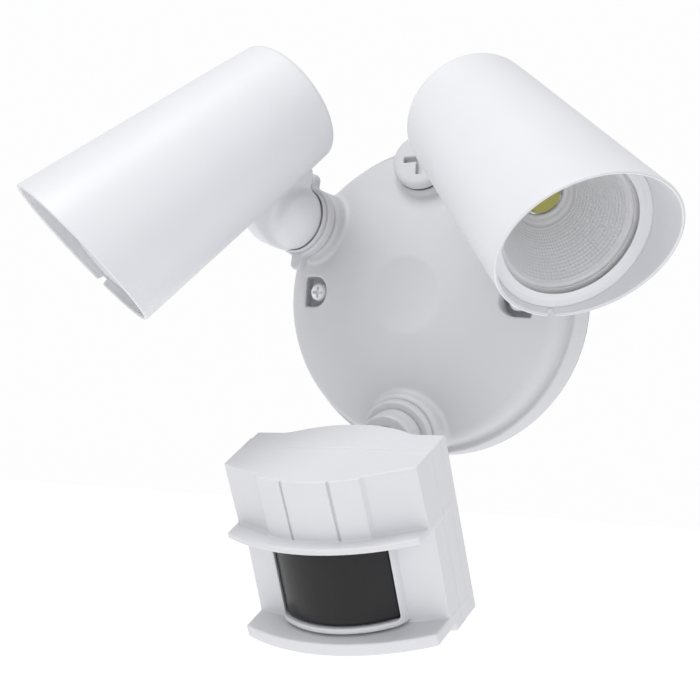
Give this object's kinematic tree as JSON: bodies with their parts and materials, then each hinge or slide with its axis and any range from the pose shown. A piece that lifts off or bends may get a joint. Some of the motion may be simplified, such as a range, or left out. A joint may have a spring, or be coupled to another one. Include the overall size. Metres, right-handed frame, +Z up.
{
  "type": "twin-head motion floodlight",
  "caption": "Wall floodlight: two hooded lamp heads and a tilting motion sensor, each on a ball joint in a tilted hub of a domed round canopy.",
  "frame": {"origin": "centre of the canopy's back face on the wall plane, midway between the two box screws", "axes": "+X right and +Z up as seen from the front, front faces -Y, the wall is the plane y = 0"},
  "size_m": [0.2664, 0.1907, 0.2375],
  "materials": {
    "canopy_coat": "fine matt white powder coat",
    "head_coat": "fine matt white powder coat",
    "arm_coat": "fine matt white powder coat",
    "sensor_plastic": "fine textured white plastic",
    "black_lens": "dark infrared lens",
    "gasket_foam": "closed-cell foam and rubber seals",
    "zinc_steel": "zinc plated",
    "screw_white": "white enamel screw heads",
    "ground_green": "green ground screw",
    "driver_black": "potted driver case",
    "sink_alu": "die-cast aluminium",
    "board_white": "white solder mask on aluminium",
    "cob_yellow": "yellow phosphor dome",
    "reflector_coat": "bright faceted reflector",
    "clear_glass": "clear tempered glass",
    "board_green": "green solder mask",
    "can_nickel": "nickel can",
    "photo_red": "light cell window",
    "dial_grey": "dark setting dials"
  },
  "bodies": {
    "base": {"canopy_cover": "canopy_coat", "wall_gasket": "gasket_foam", "mounting_strap": "zinc_steel", "mounting_screws": "screw_white", "ground_screw": "ground_green", "led_driver": "driver_black", "driver_screws": "zinc_steel", "hub_plug": "canopy_coat", "plug_gasket": "gasket_foam", "hub_seals": "gasket_foam"},
    "left_nut": {"left_locknut": "arm_coat"},
    "left_arm": {"left_arm": "arm_coat", "left_pivot_bolt": "zinc_steel", "left_seat_nut": "zinc_steel"},
    "left_seat": {"left_seat_washer": "zinc_steel"},
    "left_head": {"left_foot": "head_coat", "left_foot_screws": "zinc_steel", "left_barrel": "head_coat", "left_heat_sink": "sink_alu", "left_sink_screws": "zinc_steel", "left_led_board": "board_white", "left_cob_led": "cob_yellow", "left_reflector": "reflector_coat", "left_lens_gasket": "gasket_foam", "left_lens": "clear_glass", "left_bezel": "head_coat"},
    "right_nut": {"right_locknut": "arm_coat"},
    "right_arm": {"right_arm": "arm_coat", "right_pivot_bolt": "zinc_steel", "right_seat_nut": "zinc_steel"},
    "right_seat": {"right_seat_washer": "zinc_steel"},
    "right_head": {"right_foot": "head_coat", "right_foot_screws": "zinc_steel", "right_barrel": "head_coat", "right_heat_sink": "sink_alu", "right_sink_screws": "zinc_steel", "right_led_board": "board_white", "right_cob_led": "cob_yellow", "right_reflector": "reflector_coat", "right_lens_gasket": "gasket_foam", "right_lens": "clear_glass", "right_bezel": "head_coat"},
    "sensor_nut": {"sensor_locknut": "arm_coat"},
    "sensor_arm": {"sensor_arm": "arm_coat", "sensor_cap": "arm_coat"},
    "sensor_seat": {"sensor_seat_cup": "zinc_steel"},
    "time_dial": {"time_dial": "dial_grey"},
    "range_dial": {"range_dial": "dial_grey"},
    "sensor_head": {"sensor_stem": "sensor_plastic", "sensor_stem_nut": "zinc_steel", "sensor_back": "sensor_plastic", "sensor_front": "sensor_plastic", "sensor_seal": "gasket_foam", "sensor_screws": "zinc_steel", "pir_lens": "black_lens", "lens_clip": "sensor_plastic", "sensor_board": "board_green", "pir_detector": "can_nickel", "photocell": "photo_red"}
  },
  "joints": [
    {"name": "left_nut_turn", "type": "hinge", "parent": "base", "child": "left_nut", "pos_m": [-0.04859, -0.04026, 0.02805], "axis": [-0.2819, -0.9455, 0.1628], "range_deg": [-30, 30]},
    {"name": "left_swivel", "type": "hinge", "parent": "base", "child": "left_arm", "pos_m": [-0.05132, -0.04944, 0.02963], "axis": [-0.2819, -0.9455, 0.1628], "range_deg": [-15, 15]},
    {"name": "left_tilt", "type": "hinge", "parent": "left_arm", "child": "left_seat", "pos_m": [-0.05132, -0.04944, 0.02963], "axis": [-0.9218, 0.314, 0.2275], "range_deg": [-12, 12]},
    {"name": "left_twist", "type": "hinge", "parent": "left_seat", "child": "left_head", "pos_m": [-0.05132, -0.04944, 0.02963], "axis": [-0.0496, -0.6773, 0.7341], "range_deg": [-20, 20]},
    {"name": "right_nut_turn", "type": "hinge", "parent": "base", "child": "right_nut", "pos_m": [0.04859, -0.04026, 0.02805], "axis": [0.2819, -0.9455, 0.1628], "range_deg": [-30, 30]},
    {"name": "right_swivel", "type": "hinge", "parent": "base", "child": "right_arm", "pos_m": [0.05132, -0.04944, 0.02963], "axis": [0.2819, -0.9455, 0.1628], "range_deg": [-15, 15]},
    {"name": "right_tilt", "type": "hinge", "parent": "right_arm", "child": "right_seat", "pos_m": [0.05132, -0.04944, 0.02963], "axis": [-0.8439, -0.3251, -0.4268], "range_deg": [-12, 12]},
    {"name": "right_twist", "type": "hinge", "parent": "right_seat", "child": "right_head", "pos_m": [0.05132, -0.04944, 0.02963], "axis": [-0.0691, -0.723, 0.6874], "range_deg": [-20, 20]},
    {"name": "sensor_nut_turn", "type": "hinge", "parent": "base", "child": "sensor_nut", "pos_m": [0, -0.04026, -0.05611], "axis": [0, -0.9455, -0.3256], "range_deg": [-30, 30]},
    {"name": "sensor_swivel", "type": "hinge", "parent": "base", "child": "sensor_arm", "pos_m": [0, -0.0483, -0.05887], "axis": [0, -0.9455, -0.3256], "range_deg": [-12, 12]},
    {"name": "sensor_pan", "type": "hinge", "parent": "sensor_arm", "child": "sensor_seat", "pos_m": [0, -0.0483, -0.05887], "axis": [-0.0493, -0.4413, 0.896], "range_deg": [-20, 20]},
    {"name": "sensor_nod", "type": "hinge", "parent": "sensor_seat", "child": "sensor_head", "pos_m": [0, -0.0483, -0.05887], "axis": [0.9986, -0.0052, 0.0523], "range_deg": [-12, 12]},
    {"name": "time_dial_turn", "type": "hinge", "parent": "sensor_head", "child": "time_dial", "pos_m": [-0.01038, -0.05763, -0.12922], "axis": [-0.0493, -0.4413, 0.896], "range_deg": [-135, 135]},
    {"name": "range_dial_turn", "type": "hinge", "parent": "sensor_head", "child": "range_dial", "pos_m": [0.01758, -0.05778, -0.12775], "axis": [-0.0493, -0.4413, 0.896], "range_deg": [-135, 135]}
  ]
}
